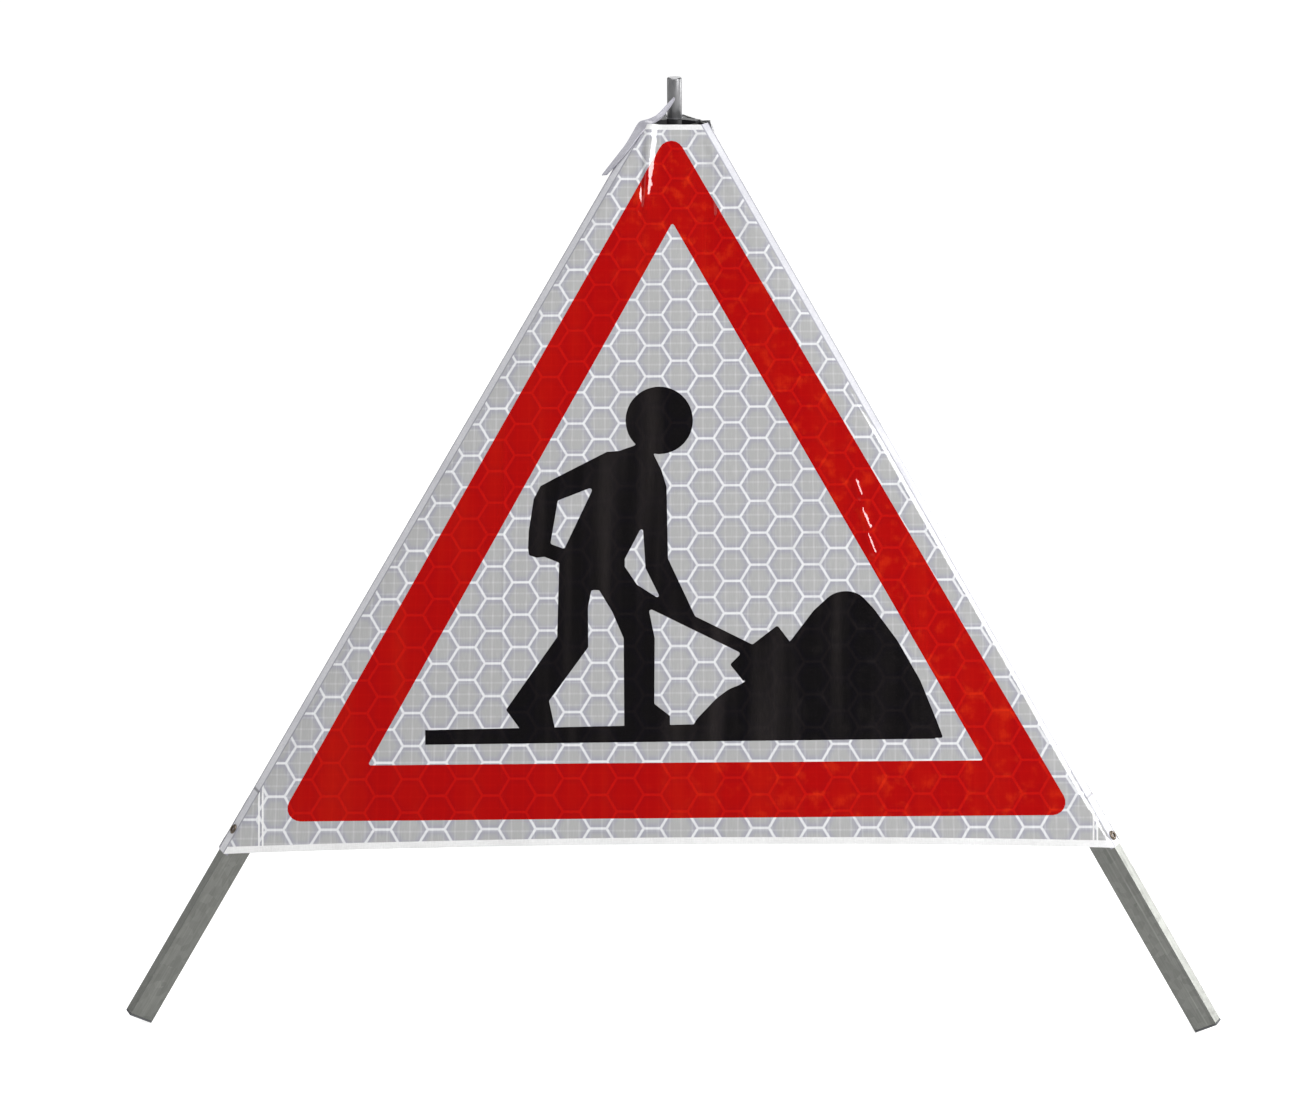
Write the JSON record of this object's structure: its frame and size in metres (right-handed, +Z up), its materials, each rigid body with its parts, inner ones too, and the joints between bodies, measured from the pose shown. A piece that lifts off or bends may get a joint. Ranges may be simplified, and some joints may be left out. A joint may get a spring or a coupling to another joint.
{
  "type": "roadworks sign frame",
  "caption": "Folding tripod roadworks sign: tube legs on a crown and sliding runner, under a taut reflective cover with a warning triangle.",
  "frame": {"origin": "on the ground under the centre shaft, level with the lowest edges of the feet", "axes": "+Z up along the centre shaft and lamp spigot, front face of the cover towards -Y, +X to the right seen from the front"},
  "size_m": [1.274, 1.1033, 1.0453],
  "materials": {
    "galvanised_steel": "hot-dip galvanised rectangular tube, dull grey with faint spangle",
    "bright_steel": "drawn steel with lengthwise streaks, satin",
    "spring_steel": "drawn spring wire, smooth and slightly dark",
    "zinc_plate": "zinc-plated flat bar and pressed sheet",
    "zinc_pins": "zinc-plated pins and rivets",
    "rivet_aluminium": "dull blind rivet",
    "black_nylon": "moulded glass-filled nylon, fine matt grain",
    "grey_plastic": "moulded polyethylene, matt",
    "cover_edge": "coated sign cloth folded over the legs, satin",
    "reflective_cover": "retroreflective sign cloth under clear film, honeycomb cells, red border and black figure"
  },
  "bodies": {
    "crown_and_shaft": {"crown": "black_nylon", "crown_cross_pin": "zinc_pins", "lamp_spigot": "bright_steel", "centre_shaft": "bright_steel", "shaft_stop": "black_nylon", "leg_hinge_pins": "zinc_pins", "runner_spring": "spring_steel"},
    "leg_left": {"leg_left": "galvanised_steel", "foot_left": "grey_plastic", "strut_bracket_left": "zinc_plate", "bracket_rivets_left": "zinc_pins", "bracket_pin_left": "zinc_pins", "cover_edge_left": "cover_edge", "cover_rivet_left": "rivet_aluminium", "closure_flap": "cover_edge"},
    "leg_right": {"leg_right": "galvanised_steel", "foot_right": "grey_plastic", "strut_bracket_right": "zinc_plate", "bracket_rivets_right": "zinc_pins", "bracket_pin_right": "zinc_pins", "cover_edge_right": "cover_edge", "cover_rivet_right": "rivet_aluminium"},
    "leg_rear": {"leg_rear": "galvanised_steel", "foot_rear": "grey_plastic", "strut_bracket_rear": "zinc_plate", "bracket_rivets_rear": "zinc_pins", "bracket_pin_rear": "zinc_pins", "cover_edge_rear": "cover_edge", "cover_rivet_rear": "rivet_aluminium"},
    "strut_left": {"strut_left": "zinc_plate"},
    "strut_right": {"strut_right": "zinc_plate"},
    "strut_rear": {"strut_rear": "zinc_plate"},
    "runner": {"runner": "black_nylon", "runner_pins": "zinc_pins"},
    "front_middle": {"front_cover_middle": "reflective_cover"},
    "front_wing_left": {"front_cover_left": "reflective_cover"},
    "front_wing_right": {"front_cover_right": "reflective_cover"},
    "right_middle": {"right_cover_middle": "reflective_cover"},
    "right_wing_front": {"right_cover_front": "reflective_cover"},
    "right_wing_rear": {"right_cover_rear": "reflective_cover"},
    "left_middle": {"left_cover_middle": "reflective_cover"},
    "left_wing_rear": {"left_cover_rear": "reflective_cover"},
    "left_wing_front": {"left_cover_front": "reflective_cover"}
  },
  "joints": [
    {"name": "leg_left_fold", "type": "hinge", "parent": "crown_and_shaft", "child": "leg_left", "pos_m": [-0.02771, -0.016, 0.98034], "axis": [0.5, -0.866, 0], "range_deg": [0, 31]},
    {"name": "strut_left_swing", "type": "hinge", "parent": "leg_left", "child": "strut_left", "pos_m": [-0.15931, -0.09198, 0.72037], "axis": [0.5, -0.866, 0], "range_deg": [-62, 0]},
    {"name": "leg_right_fold", "type": "hinge", "parent": "crown_and_shaft", "child": "leg_right", "pos_m": [0.02771, -0.016, 0.98034], "axis": [0.5, 0.866, 0], "range_deg": [0, 31]},
    {"name": "strut_right_swing", "type": "hinge", "parent": "leg_right", "child": "strut_right", "pos_m": [0.15931, -0.09198, 0.72037], "axis": [0.5, 0.866, 0], "range_deg": [-62, 0]},
    {"name": "leg_rear_fold", "type": "hinge", "parent": "crown_and_shaft", "child": "leg_rear", "pos_m": [0, 0.032, 0.98034], "axis": [-1, 0, 0], "range_deg": [0, 31]},
    {"name": "strut_rear_swing", "type": "hinge", "parent": "leg_rear", "child": "strut_rear", "pos_m": [0, 0.18396, 0.72037], "axis": [-1, 0, 0], "range_deg": [-62, 0]},
    {"name": "runner_pivot", "type": "hinge", "parent": "strut_left", "child": "runner", "pos_m": [-0.02771, -0.016, 0.4604], "axis": [0.5, -0.866, 0], "range_deg": [0, 31], "deforming": ["runner_spring"]},
    {"name": "front_cover_left_fold", "type": "hinge", "parent": "leg_left", "child": "front_wing_left", "pos_m": [-0.03725, -0.03017, 0.98462], "axis": [-0.4999, -0.2886, -0.8165], "range_deg": [0, 78.39], "deforming": ["front_cover_left"]},
    {"name": "front_cover_right_fold", "type": "hinge", "parent": "leg_right", "child": "front_wing_right", "pos_m": [0.03725, -0.03017, 0.98462], "axis": [-0.4999, 0.2886, 0.8165], "range_deg": [0, 78.39], "deforming": ["front_cover_right"]},
    {"name": "front_cover_middle_fold", "type": "hinge", "parent": "crown_and_shaft", "child": "front_middle", "pos_m": [0, -0.06918, 0.9804], "axis": [-1, 0, 0], "range_deg": [0, 12.45], "deforming": ["front_cover_middle"]},
    {"name": "right_cover_front_fold", "type": "hinge", "parent": "leg_right", "child": "right_wing_front", "pos_m": [0.04475, -0.01718, 0.98462], "axis": [0.4999, -0.2886, -0.8165], "range_deg": [0, 78.39], "deforming": ["right_cover_front"]},
    {"name": "right_cover_rear_fold", "type": "hinge", "parent": "leg_rear", "child": "right_wing_rear", "pos_m": [0.0075, 0.04734, 0.98462], "axis": [0, -0.5773, 0.8165], "range_deg": [0, 78.39], "deforming": ["right_cover_rear"]},
    {"name": "right_cover_middle_fold", "type": "hinge", "parent": "crown_and_shaft", "child": "right_middle", "pos_m": [0.05991, 0.03459, 0.9804], "axis": [0.5, -0.866, 0], "range_deg": [0, 12.45], "deforming": ["right_cover_middle"]},
    {"name": "left_cover_rear_fold", "type": "hinge", "parent": "leg_rear", "child": "left_wing_rear", "pos_m": [-0.0075, 0.04734, 0.98462], "axis": [0, 0.5773, -0.8165], "range_deg": [0, 78.39], "deforming": ["left_cover_rear"]},
    {"name": "left_cover_front_fold", "type": "hinge", "parent": "leg_left", "child": "left_wing_front", "pos_m": [-0.04475, -0.01718, 0.98462], "axis": [0.4999, 0.2886, 0.8165], "range_deg": [0, 78.39], "deforming": ["left_cover_front"]},
    {"name": "left_cover_middle_fold", "type": "hinge", "parent": "crown_and_shaft", "child": "left_middle", "pos_m": [-0.05991, 0.03459, 0.9804], "axis": [0.5, 0.866, 0], "range_deg": [0, 12.45], "deforming": ["left_cover_middle"]}
  ],
  "couplings": [
    {"joint": "strut_left_swing", "follows": "leg_left_fold", "ratio": -2},
    {"joint": "leg_right_fold", "follows": "leg_left_fold", "ratio": 1},
    {"joint": "strut_right_swing", "follows": "leg_left_fold", "ratio": -2},
    {"joint": "leg_rear_fold", "follows": "leg_left_fold", "ratio": 1},
    {"joint": "strut_rear_swing", "follows": "leg_left_fold", "ratio": -2},
    {"joint": "runner_pivot", "follows": "leg_left_fold", "ratio": 1},
    {"joint": "front_cover_left_fold", "follows": "leg_left_fold", "ratio": 2.5288},
    {"joint": "front_cover_right_fold", "follows": "leg_left_fold", "ratio": 2.5288},
    {"joint": "front_cover_middle_fold", "follows": "leg_left_fold", "ratio": 0.40174},
    {"joint": "right_cover_front_fold", "follows": "leg_left_fold", "ratio": 2.5288},
    {"joint": "right_cover_rear_fold", "follows": "leg_left_fold", "ratio": 2.5288},
    {"joint": "right_cover_middle_fold", "follows": "leg_left_fold", "ratio": 0.40174},
    {"joint": "left_cover_rear_fold", "follows": "leg_left_fold", "ratio": 2.5288},
    {"joint": "left_cover_front_fold", "follows": "leg_left_fold", "ratio": 2.5288},
    {"joint": "left_cover_middle_fold", "follows": "leg_left_fold", "ratio": 0.40174}
  ]
}
